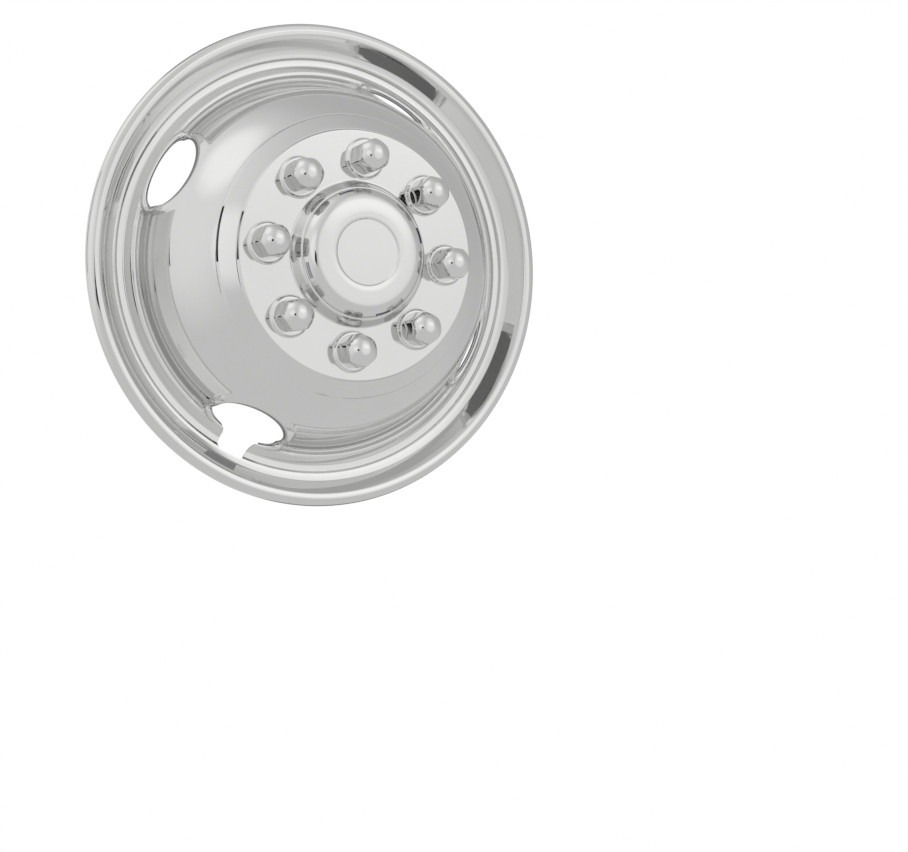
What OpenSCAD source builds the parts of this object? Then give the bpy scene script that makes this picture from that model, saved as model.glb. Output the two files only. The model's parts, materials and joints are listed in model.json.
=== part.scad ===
// Front wheel simulator for an eight-stud dual-wheel light truck: one drawn
// stainless sheet that dresses the steel wheel, a snap-in hub cover and eight
// lug nut covers, each with the parts that hold it on behind.
//
// The origin is on the wheel's axis, in the front face of the lug plate.
// Sections are drawn as [radius, height], height rising out of the wheel towards
// the viewer, and the finished piece is stood up with its face towards -Y.

/* [Wheel fit] */
// Diameter of the circle through the wheel studs
stud_circle_d = 165.1; // [160:0.1:170]
// Outer diameter across the lip
liner_d = 432.6; // [430:0.2:436]
// Thickness of the stainless sheet
sheet_t = 0.8; // [0.6:0.05:1.1]

/* [Hub collar] */
// Diameter of the collar's foot on the plate
collar_foot_d = 124; // [122:0.5:126]
// Diameter of the collar's top edge
collar_top_d = 112.8; // [111:0.2:115]
// Height of the collar's shelf above the plate
collar_h = 11; // [9:0.5:13]
// Width of the shelf, from the collar's top edge in to its opening
shelf_w = 6.4; // [5.8:0.1:7.6]

/* [Plate and ring] */
// Diameter of the flat lug plate
plate_d = 215; // [212:0.5:219]
// Width of the sloping ring outside the plate
ring_w = 15.1; // [13:0.1:17]
// Drop of the sloping ring
ring_drop = 13; // [11:0.5:15]
// Bend radius at the plate's edge
plate_bend_r = 2.5; // [1:0.5:4]

/* [Dish] */
// Radius of the dish's domed shoulder
dish_r = 97; // [92:1:102]
// Slope of the dish where it leaves the ring, in degrees
dish_start = 36; // [34:0.5:38]
// Slope of the dish below its shoulder, in degrees
dish_end = 66; // [64:0.5:67]
// Radius at which the dish meets its shelf
dish_foot_r = 165.3; // [164.5:0.1:166]
// Bend radius at the dish's foot
dish_foot_bend_r = 7; // [4:0.5:9]

/* [Trough and ledge] */
// Radius of the small bead inside the trough
bead_r = 176; // [175.5:0.1:176.5]
// Depth of that bead below the plate
bead_depth = 83.4; // [83:0.1:84]
// Radius of the inner edge of the trough's floor
trough_in_r = 180.8; // [180:0.1:181.5]
// Radius of the outer edge of the trough's floor
trough_out_r = 186.4; // [186:0.1:187]
// Depth of the trough's floor below the plate
trough_depth = 86.8; // [86.4:0.1:88]
// Width of the step that rises from the trough
step_w = 1.5; // [1:0.1:2]
// Height of that step
step_h = 2.8; // [2.2:0.1:3.2]
// Radius of the foot of the lip's inner wall
lip_foot_r = 195.6; // [195:0.1:196.5]
// Depth of that foot below the plate
lip_foot_depth = 81.6; // [81:0.1:82.5]

/* [Lip] */
// Width of the lip, from its inner edge to its rim
lip_w = 15.1; // [14.5:0.1:16]
// Depth of the lip's inner edge below the plate
lip_in_depth = 70.8; // [70:0.1:72]
// Width of the lip's inner bevel
bevel_w = 3.9; // [3:0.1:4.5]
// Depth of the bevel's outer edge below the plate
bevel_depth = 68; // [67.5:0.1:68.5]
// Width of the lip from the bevel to its crown
crown_w = 3.9; // [3:0.1:4.5]
// Depth of the lip's crown below the plate
crown_depth = 67; // [66.6:0.1:67.4]
// Width of the rolled edge outside the crown
roll_w = 1.5; // [1:0.1:2]
// Depth at which the edge rolls over
roll_depth = 69; // [68.6:0.1:69.6]
// Depth of the sheet's outer edge below the plate
edge_depth = 73; // [72:0.2:75]

/* [Hand holes] */
// Radius from the axis to a hand hole's centre
hand_hole_r = 160.3; // [159.8:0.1:160.8]
// Length of a hand hole round the wheel
hand_hole_l = 67.6; // [64:0.2:70]
// Width of a hand hole, seen along the axis
hand_hole_w = 21.6; // [20:0.2:23]
// Slope of the raised land round a hand hole, in degrees
land_slope = 57; // [56:0.1:58]
// Margin of that land outside the hole
land_margin = 4.6; // [4.2:0.1:5]
// Depth of the flange turned in round the hole
flange_depth = 7; // [5:0.5:9]

/* [Valve notch] */
// Width of the notch at its outer end
notch_w = 25.2; // [22:0.2:28]
// Width of the notch where it leaves the hand hole
notch_root_w = 29.4; // [28:0.2:32]
// Radius of the notch's outer end
notch_end_r = 189.5; // [188.6:0.1:191]
// Corner radius at the notch's outer end
notch_corner_r = 5; // [3:0.5:7]

/* [Lug nut covers] */
// Width of a cover across its flats
cover_flats = 26; // [25.4:0.1:27]
// Radius of a cover's domed end
cover_dome_r = 15.6; // [15.2:0.1:16]
// Height of a cover above the plate
cover_h = 30; // [27:0.5:34]
// Diameter of a cover's round flange
cover_flange_d = 36.4; // [35:0.2:38]
// Diameter of a cover's shoulder, where the flats begin
cover_shoulder_d = 31; // [30.8:0.1:32.4]
// Height of that shoulder
cover_shoulder_h = 3.6; // [2.5:0.1:5]
// Wall thickness of a cover
cover_wall = 0.9; // [0.7:0.05:1.2]
// Diameter of the socket that takes the lug nut
socket_d = 25; // [24.6:0.1:25.4]
// Wall thickness of the neck that passes through the plate
neck_wall = 0.8; // [0.6:0.05:1]
// Length of the neck behind the plate's front face
neck_l = 6; // [4:0.5:8]
// Clearance round a neck in its hole
neck_gap = 0.4; // [0.2:0.05:0.6]

/* [Retaining rings] */
// Outer diameter of a retaining ring
ring_d = 35.2; // [34:0.2:36.4]
// Thickness of a retaining ring
ring_t = 0.8; // [0.6:0.1:1.2]
// Clearance between a ring and its neck
ring_gap = 0.1; // [0.05:0.05:0.2]
// Number of slots between a ring's gripping tongues
ring_slots = 8; // [6:1:12]

/* [Hub cover] */
// Step from the collar's top edge in to the hub cover's edge
cap_inset = 1.3; // [1.1:0.1:2.4]
// Height of the hub cover's crown above the plate
cap_crown_h = 21.2; // [20.4:0.2:24]
// Radius of the hub cover's rounded shoulder
cap_shoulder_r = 8.5; // [6:0.5:9]
// Diameter of the flat land at the hub cover's centre
cap_land_d = 55; // [50:0.5:60]
// Height of that land above the plate
cap_land_h = 19; // [18:0.1:19.6]

/* [Hub cover clips] */
// Thickness of a clip's spring strip
clip_t = 0.6; // [0.4:0.05:0.8]
// Width of a clip
clip_w = 14; // [8:0.5:20]
// Clearance between a clip's leg and the shelf opening
clip_gap = 0.5; // [0.3:0.1:0.8]

/* [Hidden] */

$fn = 96;
steel = [0.78, 0.78, 0.77];
spring_steel = [0.45, 0.46, 0.48];

lug_count = 8;
hand_hole_count = 4;
clip_count = 4;
valve_side = 270;
lug_turn = 180 / lug_count;
clip_turn = 45;
// How far each nut cover is turned on its own nut, as found on the wheel
cover_turns = [2, 5, 0, 54, 7, 27, 14, 27];

arc_step = 7.5;
oval_points = 56;
deep = 100;
small_bend_r = 1.2;
crease_bend_r = 1.5;
bevel_bend_r = 3;
crown_bend_r = 4;
roll_bend_r = 5;

crease_r = plate_d / 2 + ring_w;
lip_in_r = liner_d / 2 - lip_w;
shelf_hole_r = collar_top_d / 2 - shelf_w;
cap_r = collar_top_d / 2 - cap_inset;
neck_r = socket_d / 2 + neck_wall;
cover_corner_r = cover_flats / 2 / cos(30);
dome_z = cover_h - cover_dome_r;

// A section through [r, z, bend] points, with each bend drawn as an arc that
// takes no more than half of the straight on either side
function turned(a, b) = let (d = atan2(b.y, b.x) - atan2(a.y, a.x)) (d > 180) ? d - 360 : (d < -180) ? d + 360 : d;
function spot(p) = [p.x, p.y];
function bend(a, p, b) =
  let (u = spot(p) - spot(a), v = spot(b) - spot(p), d = turned(u, v))
  (p.z == 0 || abs(d) < 0.5) ? [spot(p)] :
  let (
    reach = min(p.z * tan(abs(d) / 2), norm(u) / 2, norm(v) / 2),
    r = reach / tan(abs(d) / 2),
    side = sign(d),
    start = spot(p) - u / norm(u) * reach,
    centre = start + side * r * [-u.y, u.x] / norm(u),
    from = atan2(start.y - centre.y, start.x - centre.x),
    steps = max(2, ceil(abs(d) / arc_step))
  )
  [for (i = [0 : steps]) centre + r * [cos(from + d * i / steps), sin(from + d * i / steps)]];
function rounded(points) = let (last = len(points) - 1) concat(
  [spot(points[0])],
  [for (i = [1 : last - 1]) each bend(points[i - 1], points[i], points[i + 1])],
  [spot(points[last])]);

// The same line moved t to its right, mitred at each point
function right_of(v) = [v.y, -v.x] / norm(v);
function moved(line, t) = let (last = len(line) - 1) [for (i = [0 : last])
  let (
    before = right_of(line[max(1, i)] - line[max(1, i) - 1]),
    after = right_of(line[min(last, i + 1)] - line[min(last, i + 1) - 1]),
    both = before + after
  )
  line[i] + both * 2 * t / (both * both)];
function strip(line, t) = concat(line, [for (i = [len(line) - 1 : -1 : 0]) moved(line, t)[i]]);

// Front face of the liner, from the shelf opening out to the skirt's edge
function collar_and_ring() = rounded([
  [shelf_hole_r, collar_h, 0],
  [collar_top_d / 2, collar_h, small_bend_r],
  [collar_foot_d / 2, 0, crease_bend_r],
  [plate_d / 2, 0, plate_bend_r],
  [crease_r, -ring_drop, 0]]);
function dish_at(slope) = [
  crease_r + dish_r * (sin(slope) - sin(dish_start)),
  -ring_drop - dish_r * (cos(dish_start) - cos(slope))];
function dish() = let (steps = ceil((dish_end - dish_start) / 3))
  [for (i = [1 : steps]) dish_at(dish_start + (dish_end - dish_start) * i / steps)];
dish_low = dish_at(dish_end);
dish_foot_z = dish_low.y - (dish_foot_r - dish_low.x) * tan(dish_end);
function trough_and_lip() = rounded([
  [dish_low.x, dish_low.y, 0],
  [dish_foot_r, dish_foot_z, dish_foot_bend_r],
  [bead_r - 1.7, -bead_depth - 1, 1],
  [bead_r, -bead_depth, 1],
  [trough_in_r, -trough_depth, 3],
  [trough_out_r, -trough_depth, small_bend_r],
  [trough_out_r + step_w, step_h - trough_depth, small_bend_r],
  [trough_out_r + 2 * step_w + 1.2, step_h + 0.6 - trough_depth, small_bend_r],
  [lip_foot_r, -lip_foot_depth, 2],
  [lip_in_r, -lip_in_depth, crease_bend_r],
  [lip_in_r + bevel_w, -bevel_depth, bevel_bend_r],
  [lip_in_r + bevel_w + crown_w, -crown_depth, crown_bend_r],
  [liner_d / 2 - roll_w, -roll_depth, roll_bend_r],
  [liner_d / 2, -edge_depth, 0]]);
front = concat(
  collar_and_ring(),
  dish(),
  [for (i = [1 : len(trough_and_lip()) - 1]) trough_and_lip()[i]]);
middle = moved(front, sheet_t / 2);
back = moved(front, sheet_t);

// The raised land round a hand hole is a cone that crosses the dish where the
// hole's inner edge lies, and stands proud of it from there out
land_in_r = hand_hole_r - hand_hole_w / 2;
land_in_z = dish_at(asin(sin(dish_start) + (land_in_r - crease_r) / dish_r)).y;
land_root_r = land_in_r - 2;
land_out_r = hand_hole_r + hand_hole_w / 2 + land_margin + 2;
land_back = sheet_t / cos(land_slope);
function land_z(r) = land_in_z - (r - land_in_r) * tan(land_slope);

module stood_up() {
  rotate([90, 0, 0]) children();
}

module around(count, first = 0) {
  for (i = [0 : count - 1]) rotate([0, 0, first + i * 360 / count]) children();
}

// An upright oval column over one hand hole, grown by a margin
module hand_hole_column(grow) {
  points = [for (i = [0 : oval_points - 1]) let (a = i * 360 / oval_points)
    [hand_hole_r + (hand_hole_w / 2 + grow) * cos(a), (hand_hole_l / 2 + grow) * sin(a)]];
  translate([0, 0, -deep]) linear_extrude(deep) polygon(points);
}

module revolved(points) {
  rotate_extrude() polygon(points);
}

// Everything between the land's cone and the middle of the sheet below it
module land_filling() {
  lower = [for (p = middle) if (p.x > land_root_r && p.x < land_out_r && p.y > -deep) p];
  revolved(concat(
    [[land_root_r, lower[0].y], [land_root_r, land_z(land_root_r)],
     [land_out_r, land_z(land_out_r)], [land_out_r, lower[len(lower) - 1].y]],
    [for (i = [len(lower) - 1 : -1 : 0]) lower[i]]));
}

// What is hollow behind the land, out of the sheet of the dish that it replaces
module under_land() {
  hollow_r = land_in_r + 2 * sheet_t;
  revolved([
    [hollow_r, land_z(hollow_r) - land_back],
    [land_out_r, land_z(land_out_r) - land_back],
    [land_out_r, -deep],
    [hollow_r, -deep]]);
}

module land_flange() {
  foot_r = land_in_r - land_margin;
  intersection() {
    hand_hole_column(sheet_t);
    revolved([
      [foot_r, land_z(foot_r) - sheet_t],
      [land_out_r, land_z(land_out_r) - sheet_t],
      [land_out_r, land_z(land_out_r) - flange_depth],
      [foot_r, land_z(foot_r) - flange_depth]]);
  }
}

module valve_notch() {
  root_r = hand_hole_r + hand_hole_w / 2 + 3;
  outline = rounded([
    [hand_hole_r, -notch_root_w, 0],
    [root_r, -notch_root_w / 2, 8],
    [notch_end_r, -notch_w / 2, notch_corner_r],
    [notch_end_r, notch_w / 2, notch_corner_r],
    [root_r, notch_root_w / 2, 8],
    [hand_hole_r, notch_root_w, 0]]);
  translate([0, 0, -deep]) linear_extrude(deep) polygon(outline);
}

module wheel_liner() {
  color(steel) stood_up() difference() {
    union() {
      difference() {
        union() {
          revolved(concat(front, [for (i = [len(back) - 1 : -1 : 0]) back[i]]));
          intersection() {
            around(hand_hole_count) hand_hole_column(land_margin);
            land_filling();
          }
        }
        intersection() {
          around(hand_hole_count) hand_hole_column(land_margin - sheet_t);
          under_land();
        }
      }
      around(hand_hole_count) land_flange();
    }
    around(hand_hole_count) hand_hole_column(0);
    rotate([0, 0, valve_side]) valve_notch();
    around(lug_count, lug_turn) translate([stud_circle_d / 2, 0, -deep / 2])
      cylinder(h = deep, r = neck_r + neck_gap);
  }
}

// Outline of the hub cover from its edge on the shelf to the middle of its land
module hub_cover() {
  land_r = cap_land_d / 2;
  line = rounded([
    [cap_r, collar_h, 0],
    [cap_r, cap_crown_h - 1, cap_shoulder_r],
    [land_r + 10.5, cap_crown_h, 20],
    [land_r + 3, cap_crown_h - 1.3, 2],
    [land_r, cap_land_h, small_bend_r],
    [0, cap_land_h, 0]]);
  inner = moved(line, -sheet_t);
  flat_inner = [for (i = [0 : len(inner) - 1]) (i == 0) ? [inner[0].x, collar_h] : [max(0, inner[i].x), inner[i].y]];
  color(steel) stood_up()
    revolved(concat(line, [for (i = [len(flat_inner) - 1 : -1 : 0]) flat_inner[i]]));
}

// A spring strip bent to hook under the shelf, fixed inside the hub cover's edge
module hub_clip(number) {
  wall_r = cap_r - sheet_t;
  leg_r = shelf_hole_r - clip_gap;
  shelf_back = collar_h - sheet_t;
  line = rounded([
    [wall_r, collar_h + 4.5, 0],
    [wall_r, collar_h + 0.2, 0.8],
    [leg_r, collar_h + 0.2, 0.8],
    [leg_r, shelf_back - 0.6, 0.4],
    [leg_r + 2.6, shelf_back - 2.6, 0.8],
    [leg_r - 2.5, shelf_back - 8, 0]]);
  inner = moved(line, clip_t);
  sweep = clip_w / wall_r * 180 / PI;
  color(spring_steel) stood_up()
    rotate([0, 0, clip_turn + (number - 1) * 360 / clip_count - sweep / 2])
      rotate_extrude(angle = sweep)
        polygon(concat(line, [for (i = [len(inner) - 1 : -1 : 0]) inner[i]]));
}

module at_stud(number) {
  rotate([0, 0, lug_turn + (number - 1) * 360 / lug_count])
    translate([stud_circle_d / 2, 0, 0]) children();
}

module flat_sided(flats, from_z, to_z) {
  translate([0, 0, from_z]) cylinder(h = to_z - from_z, r = flats / 2 / cos(30), $fn = 6);
}

module domed(r, from_z, centre_z) {
  translate([0, 0, from_z]) cylinder(h = centre_z - from_z, r = r);
  translate([0, 0, centre_z]) sphere(r = r);
}

module lug_cover(number) {
  flange_r = cover_flange_d / 2;
  shoulder_r = cover_shoulder_d / 2;
  skirt = rounded([
    [neck_r, 0, 0],
    [flange_r, 0, 0],
    [flange_r, 0.9, 0.6],
    [shoulder_r + 0.5, cover_shoulder_h, 2],
    [0, cover_shoulder_h, 0]]);
  color(steel) stood_up() at_stud(number) difference() {
    union() {
      revolved(concat([[0, 0]], skirt));
      intersection() {
        rotate([0, 0, cover_turns[number - 1]]) flat_sided(cover_flats, 1, cover_h + 1);
        domed(cover_dome_r, 1, dome_z);
      }
      translate([0, 0, -neck_l]) cylinder(h = neck_l + 1, r = neck_r);
    }
    translate([0, 0, -neck_l - 1]) cylinder(h = neck_l + 1 + cover_shoulder_h, r = socket_d / 2);
    intersection() {
      rotate([0, 0, cover_turns[number - 1]])
        flat_sided(cover_flats - 2 * cover_wall, cover_shoulder_h - 1, cover_h);
      domed(cover_dome_r - cover_wall, cover_shoulder_h - 1, dome_z);
      cylinder(h = cover_h, r = socket_d / 2);
    }
  }
}

module retaining_ring(number) {
  bore_r = neck_r + ring_gap;
  tongue_l = (ring_d / 2 - bore_r) / 2;
  color(spring_steel) stood_up() at_stud(number)
    translate([0, 0, -sheet_t - ring_t]) difference() {
      cylinder(h = ring_t, r = ring_d / 2);
      translate([0, 0, -1]) cylinder(h = ring_t + 2, r = bore_r);
      around(ring_slots) translate([bore_r - 1, -0.6, -1]) cube([tongue_l + 1, 1.2, ring_t + 2]);
    }
}

wheel_liner();
hub_cover();
hub_clip(1);  // hub_clip_1
hub_clip(2);  // hub_clip_2
hub_clip(3);  // hub_clip_3
hub_clip(4);  // hub_clip_4
lug_cover(1);  // lug_cover_1
lug_cover(2);  // lug_cover_2
lug_cover(3);  // lug_cover_3
lug_cover(4);  // lug_cover_4
lug_cover(5);  // lug_cover_5
lug_cover(6);  // lug_cover_6
lug_cover(7);  // lug_cover_7
lug_cover(8);  // lug_cover_8
retaining_ring(1);  // retaining_ring_1
retaining_ring(2);  // retaining_ring_2
retaining_ring(3);  // retaining_ring_3
retaining_ring(4);  // retaining_ring_4
retaining_ring(5);  // retaining_ring_5
retaining_ring(6);  // retaining_ring_6
retaining_ring(7);  // retaining_ring_7
retaining_ring(8);  // retaining_ring_8
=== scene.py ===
# Looks of a polished stainless front wheel simulator: its sheet and covers as smooth
# pressings, the finish of each part, its rings and clips included, the camera and the studio.
#
# The pieces are drawn face up, in millimetres, with the wheel's axis along Z
# and the lug plate's front face at height 0, and are then stood up like the
# frame's own nodes, with their face towards -Y.
import json
import math

import bmesh
import bpy
from mathutils import Euler, Matrix, Vector, geometry


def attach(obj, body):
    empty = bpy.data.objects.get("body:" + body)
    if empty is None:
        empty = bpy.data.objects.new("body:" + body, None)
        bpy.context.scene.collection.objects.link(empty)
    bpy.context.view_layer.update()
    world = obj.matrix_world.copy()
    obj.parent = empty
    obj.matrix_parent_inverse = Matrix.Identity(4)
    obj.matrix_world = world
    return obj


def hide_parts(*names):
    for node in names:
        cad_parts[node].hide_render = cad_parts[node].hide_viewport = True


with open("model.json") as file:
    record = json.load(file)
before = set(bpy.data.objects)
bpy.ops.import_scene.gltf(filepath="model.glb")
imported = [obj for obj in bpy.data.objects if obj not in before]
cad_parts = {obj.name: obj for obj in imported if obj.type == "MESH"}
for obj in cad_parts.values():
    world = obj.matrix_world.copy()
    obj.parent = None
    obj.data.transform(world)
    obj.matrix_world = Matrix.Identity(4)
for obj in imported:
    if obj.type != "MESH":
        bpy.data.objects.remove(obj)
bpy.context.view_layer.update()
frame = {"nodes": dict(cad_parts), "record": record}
NODES = frame["nodes"]

MM = 0.001
STAND_UP = Matrix.Rotation(math.pi / 2, 4, "X") @ Matrix.Scale(MM, 4)

# The camera, as it stood for the photograph: it looks at AIM from
# CAMERA_DISTANCE away, turned about its line of sight.
AIM = Vector((0.0052, 0.0068, -0.0311))
CAMERA_DISTANCE = 1.1549
CAMERA_AZIMUTH = math.radians(19.495)
CAMERA_HEIGHT = math.radians(-14.648)
CAMERA_ROLL = math.radians(25.056)
FRAME_W = 908
FRAME_H = 852
FOCAL_PX = 1363.9
SENSOR_MM = 36.0
PRINCIPAL_X = 345
PRINCIPAL_Y = 290

# The studio: the direction of the white backdrop that the camera looks at, the
# room's plain level elsewhere, and each part of it that is brighter or darker,
# as (direction, cosines at which it starts and is full, change)
BACKDROP = ((0.323, 0.912, 0.253), 0.78, 0.86)
ROOM_LEVEL = 0.74
ROOM_PARTS = (
    ((0.25, -0.93, 0.27), 0.78, 0.97, 0.29),
    ((0.10, -0.72, 0.68), 0.86, 0.97, 0.24),
    ((-0.62, -0.77, -0.16), 0.93, 0.985, 0.22),
    ((-0.95, -0.05, 0.05), 0.35, 0.95, 0.22),
    ((-0.86, -0.15, 0.48), 0.90, 0.985, 0.24),
    ((0.35, 0.35, 0.87), 0.30, 0.95, -0.15))

# The dark cards that the sheet reflects: beside the camera, at the left, and behind
FLAG_PLACE = (-0.46, -1.02, -0.26)
FLAG_W = 0.20
FLAG_H = 0.24
SIDE_PLACE = (-0.985, 0.42, -0.215)
SIDE_TOWARDS = (-0.105, 0.0, -0.035)
SIDE_W = 0.14
SIDE_H = 0.56
BACK_PLACE = (0.05, 0.42, 0.03)
BACK_SIZE = 1.1
DARK_LEVEL = 0.02
BACK_LEVEL = 0.32

# The liner's section, with the bends of the press tool
SHEET_T = 0.8
SHEET_SHARP = math.radians(50)
SHELF_HOLE_R = 50.0
COLLAR_TOP_R = 56.4
COLLAR_FOOT_R = 62.0
COLLAR_H = 11.0
PLATE_R = 107.5
CREASE_R = 122.6
RING_DROP = 13.0
PLATE_EDGE_SET = 0.8
CREASE_SET = 0.3
EDGE_STEP_W = 1.2
EDGE_STEP_H = 2.8
EDGE_FLOOR_W = 0.6
EDGE_FLOOR_H = 0.2
DISH_R = 97.0
DISH_START = math.radians(36)
DISH_END = math.radians(66)
DISH_FOOT_R = 165.3
GROOVE_R = 168.3
GROOVE_Z = -86.0
RIDGE_R = 171.6
RIDGE_Z = -80.6
BEAD_R = 176.0
BEAD_Z = -83.4
TROUGH_IN_R = 180.8
TROUGH_OUT_R = 186.4
TROUGH_Z = -86.8
STEP_W = 1.5
STEP_H = 2.8
LIP_FOOT_R = 194.9
LIP_FOOT_Z = -81.9
LIP_IN_R = 202.2
LIP_IN_Z = -71.2
BEVEL_R = 205.1
BEVEL_Z = -68.0
CROWN_R = 209.0
CROWN_Z = -67.0
ROLL_R = 214.8
ROLL_Z = -69.0
EDGE_R = 216.3
EDGE_Z = -73.0
SECTION_STEP = math.radians(9)
TURNS = 216
ROW_MAX = 1.3

# The hand holes and the valve notch
HAND_HOLES = 4
HOLE_R = 160.3
HOLE_HALF_L = 33.8
HOLE_HALF_W = 10.8
LAND_SLOPE = math.tan(math.radians(57))
LAND_MARGIN = 4.0
LAND_EDGE = 3.2
RIM_BEND_OUT = 2.0
RIM_BEND_IN = 6.0
FLANGE_DEPTH = 6.0
FLANGE_END_Z = -85.5
PATCH_IN_R = 137.5
PATCH_OUT_R = 175.2
PATCH_HALF_TURN = math.radians(18.5)
PATCH_RINGS = 26
PATCH_CROWDING = 1.3
RIM_STEPS = 8
VALVE_TURN = math.radians(270)
NOTCH_HALF_W = 12.6
NOTCH_ROOT_HALF_W = 14.7
NOTCH_END_R = 189.5
NOTCH_BEND_R = 5.0

# The lug nut covers
STUD_CIRCLE_R = 82.55
STUDS = 8
FIRST_STUD = 22.5
PUNCH_SIDES = 64
PUNCH_DEPTH = 20
COVER_FLAT = 13.0
COVER_DOME_R = 15.6
COVER_H = 30.0
COVER_FLANGE_R = 18.2
COVER_SHOULDER_R = 15.5
COVER_SHOULDER_H = 3.6
COVER_WALL = 0.9
SOCKET_R = 12.5
NECK_WALL = 0.8
NECK_L = 6.0
NECK_GAP = 0.4
COVER_TURNS = (2, 5, 0, 54, 7, 27, 14, 27)
EDGE_POWER = 26
COVER_SPIN = 72

# The hub cover
CAP_R = 55.1
CAP_CROWN_H = 21.2
CAP_TOP_R = 33.0
CAP_CROWN_BEND = 62.0
CAP_CROWN_END = math.radians(10)
CAP_CROWN_STEPS = 8
CAP_SHOULDER_BEND = 15.0
CAP_SHOULDER_END = math.radians(68)
CAP_SHOULDER_STEPS = 24
CAP_LAND_R = 27.5
CAP_LAND_H = 19.4
CAP_SPIN = 192


def direction_change(u, v):
    change = math.atan2(v.y, v.x) - math.atan2(u.y, u.x)
    return (change + math.pi) % (2 * math.pi) - math.pi


def bend(before, at, after, radius, step):
    """The arc that rounds one corner, using at most half of each straight."""
    u, v = at - before, after - at
    change = direction_change(u, v)
    if radius == 0 or abs(change) < 0.01:
        return [at]
    reach = min(radius * math.tan(abs(change) / 2), u.length / 2, v.length / 2)
    radius = reach / math.tan(abs(change) / 2)
    start = at - u.normalized() * reach
    centre = start + math.copysign(radius, change) * Vector((-u.y, u.x)).normalized()
    arm = start - centre
    steps = max(2, math.ceil(abs(change) / step))
    turns = [Matrix.Rotation(change * i / steps, 2) for i in range(steps + 1)]
    return [centre + turn @ arm for turn in turns]


def rounded(corners, step=SECTION_STEP):
    """A line through (x, y, bend radius) corners, with every bend drawn."""
    points = [Vector(corner[:2]) for corner in corners]
    line = [points[0]]
    for i in range(1, len(corners) - 1):
        line += bend(points[i - 1], points[i], points[i + 1], corners[i][2], step)
    return line + [points[-1]]


def dish_point(slope):
    r = CREASE_R + DISH_R * (math.sin(slope) - math.sin(DISH_START))
    z = -RING_DROP - DISH_R * (math.cos(DISH_START) - math.cos(slope))
    return Vector((r, z))


def liner_section():
    low = dish_point(DISH_END)
    foot_z = low.y - (DISH_FOOT_R - low.x) * math.tan(DISH_END)
    edge = PLATE_R - PLATE_EDGE_SET
    crease = CREASE_R - CREASE_SET
    collar = rounded([
        (SHELF_HOLE_R, COLLAR_H, 0),
        (COLLAR_TOP_R, COLLAR_H, 2.4),
        (COLLAR_FOOT_R, 0, 2.0),
        (COLLAR_FOOT_R + 2.6, 0, 0),
        (PLATE_R - 2.4, 0, 0),
        (edge, 0, 0.7),
        (edge + EDGE_STEP_W, -EDGE_STEP_H, 0.5),
        (edge + EDGE_STEP_W + EDGE_FLOOR_W, -EDGE_STEP_H - EDGE_FLOOR_H, 1.0),
        (crease - EDGE_STEP_W, -RING_DROP + EDGE_STEP_H, 0.7),
        (crease, -RING_DROP, 0.5),
        (crease + EDGE_FLOOR_W, -RING_DROP - EDGE_FLOOR_H, 1.0),
        tuple(dish_point(DISH_START + math.radians(2))) + (0,)])
    dish = [dish_point(DISH_START + math.radians(i)) for i in range(3, 31)]
    lip = rounded([
        (low.x, low.y, 0),
        (DISH_FOOT_R, foot_z, 1.2),
        (GROOVE_R, GROOVE_Z, 0.8),
        (RIDGE_R, RIDGE_Z, 0.8),
        (BEAD_R - 1.6, BEAD_Z + 2.2, 1),
        (BEAD_R, BEAD_Z + 0.8, 1),
        (TROUGH_IN_R, TROUGH_Z, 3),
        (TROUGH_OUT_R, TROUGH_Z, 1.2),
        (TROUGH_OUT_R + STEP_W, TROUGH_Z + STEP_H, 1.2),
        (TROUGH_OUT_R + 2 * STEP_W + 1.2, TROUGH_Z + STEP_H + 0.6, 1.2),
        (LIP_FOOT_R, LIP_FOOT_Z, 2),
        (LIP_IN_R, LIP_IN_Z, 1.5),
        (BEVEL_R, BEVEL_Z, 3),
        (CROWN_R, CROWN_Z, 4),
        (ROLL_R, ROLL_Z, 5),
        (EDGE_R, EDGE_Z, 0)])
    return evened(collar + dish + lip)


def evened(line):
    """The line with its long straights divided where the hand holes cut through it, so
    that the ends of the holes come out round."""
    out = [line[0]]
    for low, high in zip(line, line[1:]):
        parts = 1
        if low.x > PATCH_IN_R - 2 and high.x < PATCH_OUT_R + 2:
            parts = math.ceil((high - low).length / ROW_MAX)
        out += [low.lerp(high, i / parts) for i in range(1, parts + 1)]
    return out


SECTION = liner_section()


def section_height(r):
    """Height of the plain pressing at a radius beyond the plate."""
    for low, high in zip(SECTION, SECTION[1:]):
        if low.x <= r <= high.x and high.x > low.x:
            return low.y + (high.y - low.y) * (r - low.x) / (high.x - low.x)
    return SECTION[-1].y


def smooth(t):
    t = max(0.0, min(1.0, t))
    return t * t * (3 - 2 * t)


def spin_line(bm, line, steps):
    """Spins a (radius, height) line round the axis and welds it shut."""
    verts = [bm.verts.new((p.x, 0, p.y)) for p in line]
    edges = [bm.edges.new(pair) for pair in zip(verts, verts[1:])]
    bmesh.ops.spin(bm, geom=verts + edges, cent=(0, 0, 0), axis=(0, 0, 1), dvec=(0, 0, 0),
                   angle=2 * math.pi, steps=steps, use_merge=True, use_duplicate=False)
    bmesh.ops.remove_doubles(bm, verts=bm.verts, dist=1e-4)


def as_mesh(name, bm):
    mesh = bpy.data.meshes.new(name)
    bm.to_mesh(mesh)
    bm.free()
    return mesh


def placed(name, data):
    """Makes an object of a mesh or a camera and puts it in the scene."""
    made = bpy.data.objects.new(name, data)
    bpy.context.scene.collection.objects.link(made)
    return made


def turned_up(bm, radius):
    """Points a pressing's faces the way that it faces up, where it is flat at a radius."""
    bmesh.ops.recalc_face_normals(bm, faces=bm.faces)
    flat = min(bm.faces, key=lambda f: abs(f.calc_center_median().xy.length - radius))
    if flat.normal.z < 0:
        bmesh.ops.reverse_faces(bm, faces=bm.faces)


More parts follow.
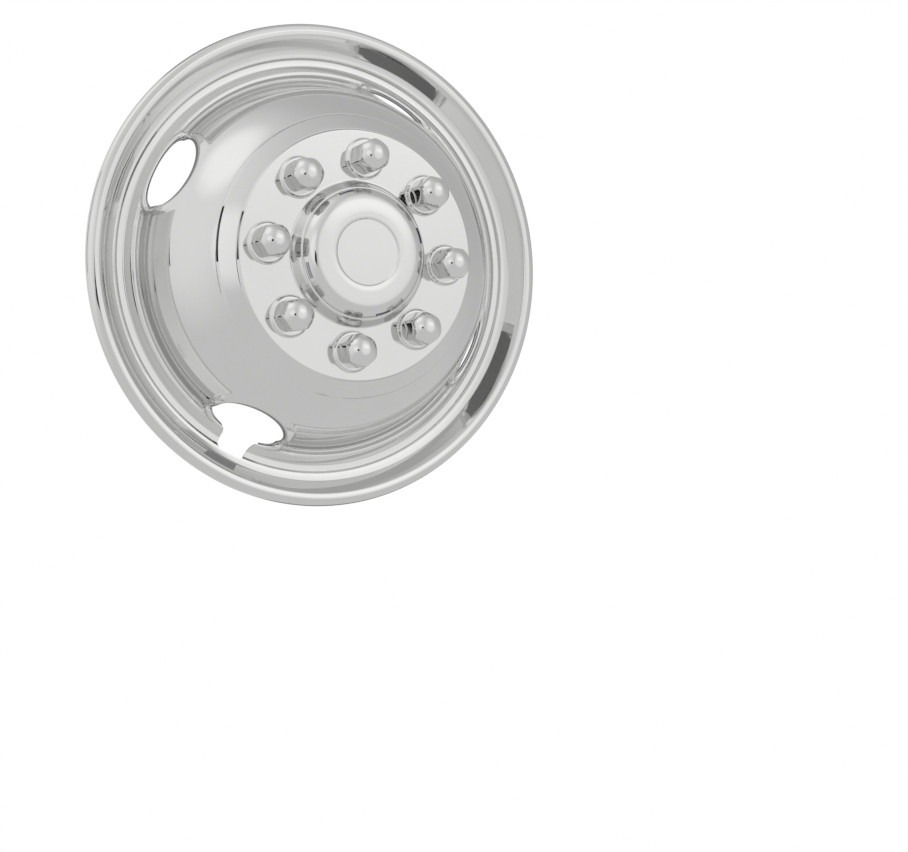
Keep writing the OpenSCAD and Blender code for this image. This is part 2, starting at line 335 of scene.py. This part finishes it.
def add_piece(name, bm, slot, replaced, sharp=35):
    """Stands a drawn piece up, shades it and puts it on the frame in place of its node."""
    mesh = as_mesh(name, bm)
    mesh.transform(STAND_UP)
    for face in mesh.polygons:
        face.use_smooth = True
    mesh.set_sharp_from_angle(angle=math.radians(sharp))
    piece = placed(name, mesh)
    mesh.materials.append(FINISHES[slot])
    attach(piece, "root")
    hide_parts(replaced)
    return piece


def land_z(u, v):
    """Height of the land, a cone through the dish where the hole's inner edge lies."""
    root = HOLE_R - HOLE_HALF_W
    return section_height(root) - (math.hypot(u, v) - root) * LAND_SLOPE


def oval(angle):
    return Vector((HOLE_HALF_W * math.cos(angle), HOLE_HALF_L * math.sin(angle)))


def oval_distance(u, v):
    """Roughly how far a point lies outside the clear oval of a hand hole."""
    p = Vector((u - HOLE_R, v))
    scaled = Vector((p.x / HOLE_HALF_W, p.y / HOLE_HALF_L))
    size = scaled.length
    slant = Vector((scaled.x / HOLE_HALF_W, scaled.y / HOLE_HALF_L)).length
    return (size - 1) * size / slant


def sheet_z(u, v):
    """Height of the pressing near a hand hole, its land included."""
    plain = section_height(math.hypot(u, v))
    share = 1 - smooth((oval_distance(u, v) - LAND_MARGIN) / LAND_EDGE)
    return plain + share * max(0.0, land_z(u, v) - plain)


def hand_hole(bm, turn):
    """Takes one stretch out of the spun sheet and draws its edge in, ring by ring,
    to the hole's oval, and from there round the bend and down the flange."""
    back = Matrix.Rotation(-turn, 4, "Z")
    there = Matrix.Rotation(turn, 4, "Z")

    def turned_back(place):
        p = back @ place
        return math.hypot(p.x, p.y), abs(math.atan2(p.y, p.x))

    def inside(face):
        r, away = turned_back(face.calc_center_median())
        return away < PATCH_HALF_TURN and PATCH_IN_R < r < PATCH_OUT_R

    bmesh.ops.delete(bm, geom=[f for f in bm.faces if inside(f)], context="FACES")
    edges = []
    for edge in bm.edges:
        r, away = turned_back((edge.verts[0].co + edge.verts[1].co) / 2)
        beside = away < 1.1 * PATCH_HALF_TURN and PATCH_IN_R - 5 < r < PATCH_OUT_R + 2
        if edge.is_boundary and beside:
            edges.append(edge)
    spokes = []
    layer = bm.verts.layers.int["spoke"]
    for i, vert in enumerate({v for e in edges for v in e.verts}):
        vert[layer] = i
        p = back @ vert.co
        a = math.atan2(p.y / HOLE_HALF_L, (p.x - HOLE_R) / HOLE_HALF_W)
        edge = oval(a)
        out = Vector((edge.x / HOLE_HALF_W ** 2, edge.y / HOLE_HALF_L ** 2)).normalized()
        near = Vector((HOLE_R, 0)) + edge + out * 2
        slope = math.atan((sheet_z(*(near - out)) - sheet_z(*(near + out))) / 2)
        inward = 0.5 - 0.5 * math.cos(a)
        radius = RIM_BEND_OUT + (RIM_BEND_IN - RIM_BEND_OUT) * inward
        top = Vector((HOLE_R, 0)) + edge + out * radius * (1 + math.sin(slope))
        spokes.append((p.xy.copy(), top, out, slope, radius))

    def drawn_in(place):
        """Draws the open edge on by one ring, each point to its place on its spoke."""
        made = bmesh.ops.extrude_edge_only(bm, edges=edges)["geom"]
        for vert in made:
            if isinstance(vert, bmesh.types.BMVert):
                vert.co = there @ place(*spokes[vert[layer]])
        return [e for e in made if isinstance(e, bmesh.types.BMEdge) and e.is_boundary]

    for k in range(1, PATCH_RINGS + 1):
        share = 1 - (1 - k / PATCH_RINGS) ** PATCH_CROWDING

        def across(start, top, out, slope, radius):
            p = start.lerp(top, share)
            return Vector((p.x, p.y, sheet_z(p.x, p.y)))

        edges = drawn_in(across)
    for k in range(1, RIM_STEPS + 1):

        def round_rim(start, top, out, slope, radius):
            at = slope - (slope + math.pi / 2) * k / RIM_STEPS
            p = top - out * radius * (math.sin(slope) - math.sin(at))
            rise = radius * (math.cos(at) - math.cos(slope))
            return Vector((p.x, p.y, sheet_z(top.x, top.y) + rise))

        edges = drawn_in(round_rim)

    def flange_end(start, top, out, slope, radius):
        p = top - out * radius * (math.sin(slope) + 1)
        z = sheet_z(top.x, top.y) - radius * math.cos(slope) - FLANGE_DEPTH
        return Vector((p.x, p.y, max(z, FLANGE_END_Z)))

    drawn_in(flange_end)


def notch_outline():
    """One side of the valve notch, from inside its hand hole to its middle."""
    return rounded([
        (HOLE_R, NOTCH_ROOT_HALF_W * 2, 0),
        (HOLE_R + HOLE_HALF_W + 3, NOTCH_ROOT_HALF_W, 8),
        (NOTCH_END_R, NOTCH_HALF_W, NOTCH_BEND_R),
        (NOTCH_END_R, 0, 0)])


def crossed(face, low, high):
    """Whether a line in plan from low to high runs over a face."""
    for edge in face.edges:
        ends = [v.co.xy for v in edge.verts]
        if geometry.intersect_line_line_2d(low, high, *ends):
            return True
    return False


def valve_notch(bm):
    """Shears the notch for the valve out of the sheet, between its hand hole and the lip."""
    side = notch_outline()
    turn = Matrix.Rotation(VALVE_TURN, 2)
    outline = [turn @ Vector((p.x, -p.y)) for p in side] + [turn @ p for p in side[-2::-1]]
    for low, high in zip(outline, outline[1:]):
        along = (high - low).normalized()
        faces = [f for f in bm.faces if crossed(f, low - along * 0.05, high + along * 0.05)]
        parts = {g for f in faces for g in (f, *f.edges, *f.verts)}
        bmesh.ops.bisect_plane(bm, geom=list(parts), dist=1e-4, plane_co=(low.x, low.y, 0),
                               plane_no=(along.y, -along.x, 0))
    back = Matrix.Rotation(-VALVE_TURN, 2)

    def inside(face):
        p = back @ face.calc_center_median().xy
        for near, far in zip(side, side[1:]):
            if near.x <= p.x < far.x:
                return abs(p.y) < near.y + (far.y - near.y) * (p.x - near.x) / (far.x - near.x)
        return False

    bmesh.ops.delete(bm, geom=[f for f in bm.faces if inside(f)], context="FACES")


def stud_turn(number):
    return math.radians(FIRST_STUD + 360 / STUDS * (number - 1))


def stud_place(number):
    turn = stud_turn(number)
    return Vector((STUD_CIRCLE_R * math.cos(turn), STUD_CIRCLE_R * math.sin(turn), 0))


def stud_punch():
    """What is punched out of the lug plate for the eight studs."""
    bm = bmesh.new()
    r = SOCKET_R + NECK_WALL + NECK_GAP
    for number in range(1, STUDS + 1):
        bmesh.ops.create_cone(bm, cap_ends=True, segments=PUNCH_SIDES, radius1=r, radius2=r,
                              depth=PUNCH_DEPTH, matrix=Matrix.Translation(stud_place(number)))
    mesh = as_mesh("punch", bm)
    mesh.transform(STAND_UP)
    return placed("punch", mesh)


def sheet_wall(piece):
    """Gives a pressing the sheet's thickness, away from its polished face."""
    wall = piece.modifiers.new("sheet", "SOLIDIFY")
    wall.thickness = SHEET_T * MM
    wall.offset = -1
    wall.use_even_offset = True


def baked(piece):
    """Replaces a piece's mesh by what its modifiers make of it."""
    bpy.context.view_layer.update()
    graph = bpy.context.evaluated_depsgraph_get()
    made = bpy.data.meshes.new_from_object(piece.evaluated_get(graph))
    plain = piece.data
    piece.modifiers.clear()
    piece.data = made
    bpy.data.meshes.remove(plain)
    made.name = piece.name
    made.set_sharp_from_angle(angle=SHEET_SHARP)


def wheel_liner():
    bm = bmesh.new()
    bm.verts.layers.int.new("spoke")
    spin_line(bm, SECTION, TURNS)
    for i in range(HAND_HOLES):
        hand_hole(bm, math.radians(90 * i))
    valve_notch(bm)
    turned_up(bm, 80)
    piece = add_piece("liner_sheet", bm, "polished_steel", "wheel_liner")
    sheet_wall(piece)
    punch = stud_punch()
    punched = piece.modifiers.new("punched", "BOOLEAN")
    punched.operation = "DIFFERENCE"
    punched.solver = "FAST"
    punched.object = punch
    baked(piece)
    bpy.data.objects.remove(punch)


def hub_cover():
    """The snap-in cover: a shallow pressed cup with a sunk round land."""
    crown = []
    for i in range(CAP_CROWN_STEPS + 1):
        slope = CAP_CROWN_END * i / CAP_CROWN_STEPS
        out = CAP_TOP_R + CAP_CROWN_BEND * math.sin(slope)
        crown.append(Vector((out, CAP_CROWN_H - CAP_CROWN_BEND * (1 - math.cos(slope)))))
    shoulder = []
    for i in range(1, CAP_SHOULDER_STEPS + 1):
        slope = CAP_CROWN_END + (CAP_SHOULDER_END - CAP_CROWN_END) * i / CAP_SHOULDER_STEPS
        out = CAP_SHOULDER_BEND * (math.sin(slope) - math.sin(CAP_CROWN_END))
        down = CAP_SHOULDER_BEND * (math.cos(CAP_CROWN_END) - math.cos(slope))
        shoulder.append(crown[-1] + Vector((out, -down)))
    land = rounded([
        (CAP_TOP_R, CAP_CROWN_H, 0),
        (CAP_LAND_R + 2.6, CAP_CROWN_H - 0.3, 6),
        (CAP_LAND_R + 0.9, CAP_LAND_H + 1.0, 0.8),
        (CAP_LAND_R, CAP_LAND_H, 0.4),
        (CAP_LAND_R - 0.8, CAP_LAND_H, 0),
        (0, CAP_LAND_H, 0)], math.radians(6))
    outside = [Vector((CAP_R, COLLAR_H))] + shoulder[::-1] + crown[:0:-1] + land
    bm = bmesh.new()
    spin_line(bm, outside, CAP_SPIN)
    turned_up(bm, 0)
    piece = add_piece("hub_cover_shell", bm, "polished_steel", "hub_cover")
    sheet_wall(piece)
    baked(piece)


def acorn(place, flat, dome_r, turn):
    """Draws a point of a round-ended bar in to six flats, with softened edges."""
    centre = Vector((0, 0, COVER_H - COVER_DOME_R))
    arm = place - centre
    if arm.z < 0:
        arm.z = 0
    way = arm.normalized()
    size = (1 / dome_r) ** EDGE_POWER
    for i in range(6):
        a = turn + math.radians(30 + 60 * i)
        size += (max(0.0, way.x * math.cos(a) + way.y * math.sin(a)) / flat) ** EDGE_POWER
    drawn = centre + way * size ** (-1 / EDGE_POWER)
    if place.z < centre.z:
        drawn.z = place.z
    return drawn


def bar_line(r, foot_z, dome_r, step):
    """Half section of a round-ended bar, from its foot to its tip."""
    centre = COVER_H - COVER_DOME_R
    sides = [Vector((r, foot_z + (centre - foot_z) * i / 4)) for i in range(4)]
    dome = []
    for i in range(round(90 / step)):
        a = math.radians(step * i)
        dome.append(Vector((dome_r * math.cos(a), centre + dome_r * math.sin(a))))
    return sides + dome + [Vector((0, centre + dome_r))]


def lug_cover(number):
    turn = math.radians(COVER_TURNS[number - 1])
    neck_r = SOCKET_R + NECK_WALL
    foot_z = COVER_SHOULDER_H
    skirt = rounded([
        (SOCKET_R, -NECK_L, 0),
        (neck_r, -NECK_L, 0),
        (neck_r, 0, 0),
        (COVER_FLANGE_R, 0, 0.3),
        (COVER_FLANGE_R, 1.1, 0.5),
        (COVER_FLANGE_R - 0.8, 1.3, 0.3),
        (COVER_SHOULDER_R + 0.5, COVER_SHOULDER_H, 1.4),
        (COVER_SHOULDER_R - 0.6, COVER_SHOULDER_H, 0)], math.radians(12))
    bar = bar_line(COVER_DOME_R, foot_z, COVER_DOME_R, 2)
    hollow_r = COVER_DOME_R - COVER_WALL
    hollow = bar_line(hollow_r, foot_z, hollow_r, 5)[::-1]
    bm = bmesh.new()
    spin_line(bm, skirt + bar, COVER_SPIN)
    for vert in bm.verts:
        at_shoulder = vert.co.z > foot_z - 1e-4 and vert.co.xy.length > COVER_SHOULDER_R - 0.55
        if at_shoulder or vert.co.z > foot_z + 0.1:
            vert.co = acorn(vert.co, COVER_FLAT, COVER_DOME_R, turn)
    inside = bmesh.new()
    socket = [Vector((SOCKET_R, foot_z)), Vector((SOCKET_R, -NECK_L))]
    spin_line(inside, hollow + socket, COVER_SPIN)
    for vert in inside.verts:
        if vert.co.xy.length > SOCKET_R + 0.1 or vert.co.z > foot_z + 0.1:
            vert.co = acorn(vert.co, COVER_FLAT - COVER_WALL, hollow_r, turn)
    spare = as_mesh("spare", inside)
    bm.from_mesh(spare)
    bpy.data.meshes.remove(spare)
    bmesh.ops.remove_doubles(bm, verts=bm.verts, dist=1e-3)
    bmesh.ops.recalc_face_normals(bm, faces=bm.faces)
    bmesh.ops.rotate(bm, verts=bm.verts, cent=(0, 0, 0),
                     matrix=Matrix.Rotation(stud_turn(number), 3, "Z"))
    bmesh.ops.translate(bm, verts=bm.verts, vec=stud_place(number))
    add_piece("nut_cover_%d" % number, bm, "polished_steel", "lug_cover_%d" % number, sharp=60)


def build_camera():
    data = bpy.data.cameras.new("camera")
    data.sensor_fit = "HORIZONTAL"
    data.sensor_width = SENSOR_MM
    data.lens = FOCAL_PX / FRAME_W * SENSOR_MM
    data.shift_x = (FRAME_W / 2 - PRINCIPAL_X) / FRAME_W
    data.shift_y = (PRINCIPAL_Y - FRAME_H / 2) / FRAME_W
    data.clip_start = 0.05
    data.clip_end = 50
    camera = placed("camera", data)
    sight = Euler((math.pi / 2 - CAMERA_HEIGHT, 0, -CAMERA_AZIMUTH)).to_matrix().to_4x4()
    turned = sight @ Matrix.Rotation(CAMERA_ROLL, 4, "Z")
    camera.matrix_world = turned
    camera.location = AIM + turned.to_3x3() @ Vector((0, 0, CAMERA_DISTANCE))
    bpy.context.scene.camera = camera


def steel(name, dark, pale, polish, waves):
    """A steel whose colour and polish vary softly over the sheet, and whose face is
    never quite true: polish is its (low, high) roughness, and waves the size in
    metres and depth in metres of what the press and the buffing wheel leave."""
    material = bpy.data.materials.new(name)
    material.use_nodes = True
    tree = material.node_tree
    shader = tree.nodes["Principled BSDF"]
    shader.inputs["Metallic"].default_value = 1
    where = tree.nodes.new("ShaderNodeTexCoord")

    def noise(size, detail):
        made = tree.nodes.new("ShaderNodeTexNoise")
        made.inputs["Scale"].default_value = 1 / size
        made.inputs["Detail"].default_value = detail
        tree.links.new(where.outputs["Object"], made.inputs["Vector"])
        return made.outputs["Fac"]

    tint = tree.nodes.new("ShaderNodeMix")
    tint.data_type = "RGBA"
    tint.inputs["A"].default_value = (*dark, 1)
    tint.inputs["B"].default_value = (*pale, 1)
    tree.links.new(noise(0.05, 3), tint.inputs["Factor"])
    tree.links.new(tint.outputs["Result"], shader.inputs["Base Color"])
    gloss = tree.nodes.new("ShaderNodeMapRange")
    gloss.inputs["From Min"].default_value = 0.35
    gloss.inputs["From Max"].default_value = 0.65
    gloss.inputs["To Min"].default_value = polish[0]
    gloss.inputs["To Max"].default_value = polish[1]
    tree.links.new(noise(0.02, 4), gloss.inputs["Value"])
    tree.links.new(gloss.outputs["Result"], shader.inputs["Roughness"])
    bump = tree.nodes.new("ShaderNodeBump")
    bump.inputs["Distance"].default_value = waves[1]
    bump.inputs["Strength"].default_value = 1
    tree.links.new(noise(waves[0], 1), bump.inputs["Height"])
    tree.links.new(bump.outputs["Normal"], shader.inputs["Normal"])
    return material


def build_world():
    """A plain room with a white backdrop, brighter in front and at the left and
    darker above."""
    world = bpy.data.worlds.new("studio")
    world.use_nodes = True
    tree = world.node_tree
    tree.nodes.clear()
    where = tree.nodes.new("ShaderNodeTexCoord")

    def facing(direction, low, high, full):
        """Rises to its full value where a ray points in a direction."""
        dot = tree.nodes.new("ShaderNodeVectorMath")
        dot.operation = "DOT_PRODUCT"
        tree.links.new(where.outputs["Generated"], dot.inputs[0])
        dot.inputs[1].default_value = Vector(direction).normalized()
        spread = tree.nodes.new("ShaderNodeMapRange")
        spread.interpolation_type = "SMOOTHSTEP"
        spread.inputs["From Min"].default_value = low
        spread.inputs["From Max"].default_value = high
        spread.inputs["To Max"].default_value = full
        tree.links.new(dot.outputs["Value"], spread.inputs["Value"])
        return spread.outputs["Result"]

    def combined(operation, one, other=None):
        made = tree.nodes.new("ShaderNodeMath")
        made.operation = operation
        made.inputs[1].default_value = ROOM_LEVEL
        tree.links.new(one, made.inputs[0])
        if other:
            tree.links.new(other, made.inputs[1])
        return made.outputs[0]

    level = None
    for part in ROOM_PARTS:
        level = combined("ADD", facing(*part), level)
    level = combined("MAXIMUM", facing(*BACKDROP, 1), level)
    room = tree.nodes.new("ShaderNodeBackground")
    room.inputs["Color"].default_value = (1, 1, 1, 1)
    tree.links.new(level, room.inputs["Strength"])
    tree.links.new(room.outputs[0], tree.nodes.new("ShaderNodeOutputWorld").inputs["Surface"])
    bpy.context.scene.world = world


def card(name, centre, towards, width, height, level):
    """A plain studio card that the camera itself doesn't see."""
    bm = bmesh.new()
    bmesh.ops.create_grid(bm, x_segments=1, y_segments=1, size=0.5)
    mesh = as_mesh(name, bm)
    made = placed(name, mesh)
    made.location = centre
    made.rotation_euler = (Vector(towards) - Vector(centre)).to_track_quat("Z", "Y").to_euler()
    made.scale = (width, height, 1)
    made.visible_camera = False
    paint = bpy.data.materials.new(name)
    paint.use_nodes = True
    shader = paint.node_tree.nodes["Principled BSDF"]
    shader.inputs["Base Color"].default_value = (level, level, level, 1)
    shader.inputs["Roughness"].default_value = 0.9
    shader.inputs["Specular IOR Level"].default_value = 0
    mesh.materials.append(paint)


FINISHES = {
    "polished_steel": steel("polished_steel", (0.66, 0.66, 0.655), (0.70, 0.70, 0.695),
                            (0.04, 0.09), (0.012, 0.00002)),
    "spring_steel": steel("spring_steel", (0.38, 0.39, 0.41), (0.46, 0.47, 0.49),
                          (0.25, 0.42), (0.002, 0.00002))}
for row in frame["record"]["subparts"]:
    node = NODES[row["node"]]
    node.data.materials.clear()
    node.data.materials.append(FINISHES[row["material_slot"]])
wheel_liner()
hub_cover()
for stud in range(1, STUDS + 1):
    lug_cover(stud)
build_camera()
build_world()
card("camera_flag", FLAG_PLACE, AIM, FLAG_W, FLAG_H, DARK_LEVEL)
card("side_flag", SIDE_PLACE, SIDE_TOWARDS, SIDE_W, SIDE_H, DARK_LEVEL)
card("back_flag", BACK_PLACE, (0, 0, 0), BACK_SIZE, BACK_SIZE, BACK_LEVEL)
bpy.context.scene.view_settings.view_transform = "Standard"
